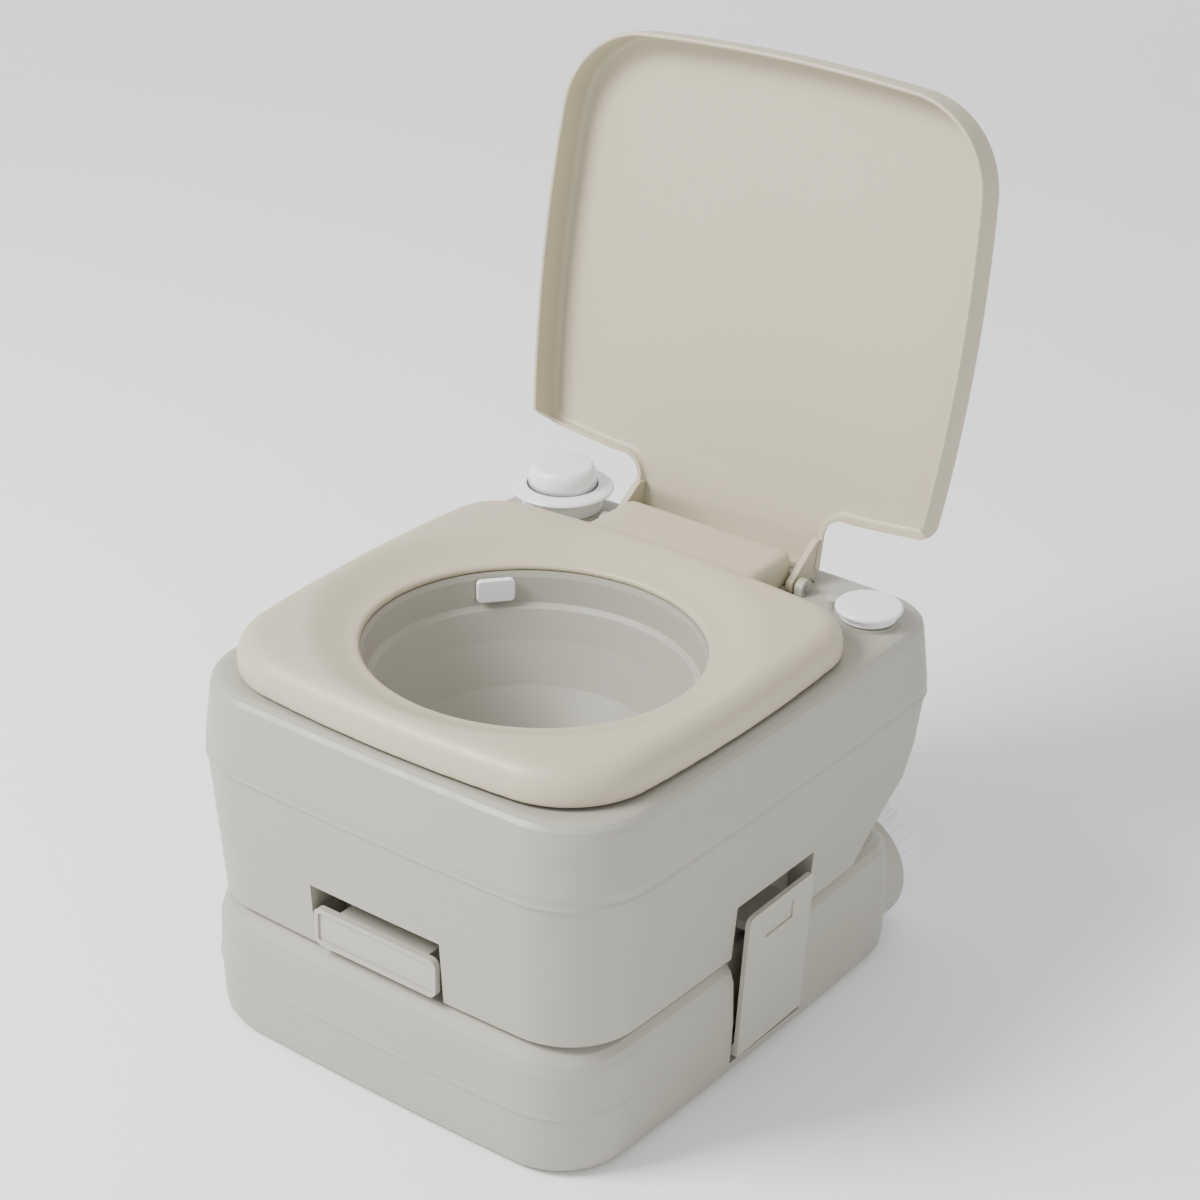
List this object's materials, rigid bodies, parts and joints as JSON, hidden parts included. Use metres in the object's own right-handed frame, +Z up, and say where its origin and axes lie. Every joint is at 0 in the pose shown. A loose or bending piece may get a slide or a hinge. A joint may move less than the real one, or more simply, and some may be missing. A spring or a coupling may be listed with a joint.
{
  "type": "portable camp toilet",
  "caption": "Two-tank portable camp toilet with hinged seat and lid, press-button flush pump, slide valve, side latches, filler cap and screwed drain cap.",
  "frame": {"origin": "on the floor, under the middle of the tanks", "axes": "+Z up, -Y towards the front, +X towards the right-hand side as seen from the front"},
  "size_m": [0.365, 0.4552, 0.6167],
  "materials": {
    "tank": "satin",
    "handle": "satin",
    "seat_lid": "satin",
    "white": "satin gloss",
    "inner_plastic": "satin",
    "rubber": "matt",
    "hose": "soft clear vinyl",
    "steel": "plain"
  },
  "bodies": {
    "base": {"waste_tank": "tank", "valve_base": "inner_plastic", "valve_cover": "inner_plastic", "valve_seal": "rubber", "valve_screws": "steel", "latch_pins": "steel"},
    "valve": {"valve_blade": "inner_plastic", "valve_handle": "handle"},
    "latch_r": {"latch_right": "tank"},
    "latch_l": {"latch_left": "tank"},
    "drain_carrier": {"drain_seal": "rubber"},
    "drain_screw": {"drain_cap": "white"},
    "upper": {"flush_tank": "tank", "bowl_deck": "tank", "bowl": "tank", "outlet_gasket": "rubber", "hinge_pins": "steel", "pump_flange": "white", "pump_barrel": "inner_plastic", "foot_valve": "inner_plastic", "flush_hose": "hose", "nozzle_housing": "white", "flush_nozzle": "white", "filler_strap": "inner_plastic", "pump_spring": "steel"},
    "pump": {"pump_button": "white", "pump_piston": "inner_plastic", "piston_ring": "rubber"},
    "filler_carrier": {"filler_seal": "rubber"},
    "filler_screw": {"filler_cap": "white"},
    "seat": {"seat": "seat_lid", "seat_buffers": "rubber"},
    "lid": {"lid": "seat_lid"}
  },
  "joints": [
    {"name": "valve_slide", "type": "slide", "parent": "base", "child": "valve", "axis": [0, -1, 0], "range_m": [0, 0.094]},
    {"name": "latch_right_swing", "type": "hinge", "parent": "base", "child": "latch_r", "pos_m": [0.1675, 0, 0.024], "axis": [0, 1, 0], "range_deg": [-3, 40]},
    {"name": "latch_left_swing", "type": "hinge", "parent": "base", "child": "latch_l", "pos_m": [-0.1675, 0, 0.024], "axis": [0, -1, 0], "range_deg": [-3, 40]},
    {"name": "drain_lift_off", "type": "slide", "parent": "base", "child": "drain_carrier", "axis": [0, 1, 0], "range_m": [0, 0.04]},
    {"name": "drain_turn", "type": "hinge", "parent": "drain_carrier", "child": "drain_screw", "pos_m": [0.126, 0.19, 0.0485], "axis": [0, 1, 0], "continuous": true},
    {"name": "tank_lift_off", "type": "slide", "parent": "base", "child": "upper", "axis": [0, 0, 1], "range_m": [0, 0.12]},
    {"name": "pump_press", "type": "slide", "parent": "upper", "child": "pump", "axis": [0, 0, -1], "range_m": [0, 0.012], "stiffness_N_per_m": 400, "springref_m": -0.006, "deforming": ["pump_spring"]},
    {"name": "filler_lift_off", "type": "slide", "parent": "upper", "child": "filler_carrier", "axis": [0, 0, 1], "range_m": [0, 0.02]},
    {"name": "filler_turn", "type": "hinge", "parent": "filler_carrier", "child": "filler_screw", "pos_m": [0.1435, 0.151, 0.27], "axis": [0, 0, 1], "continuous": true},
    {"name": "seat_hinge", "type": "hinge", "parent": "upper", "child": "seat", "pos_m": [0, 0.157, 0.267], "axis": [1, 0, 0], "range_deg": [-95, 0]},
    {"name": "lid_hinge", "type": "hinge", "parent": "upper", "child": "lid", "pos_m": [0, 0.157, 0.267], "axis": [1, 0, 0], "range_deg": [0, 100.8]}
  ]
}
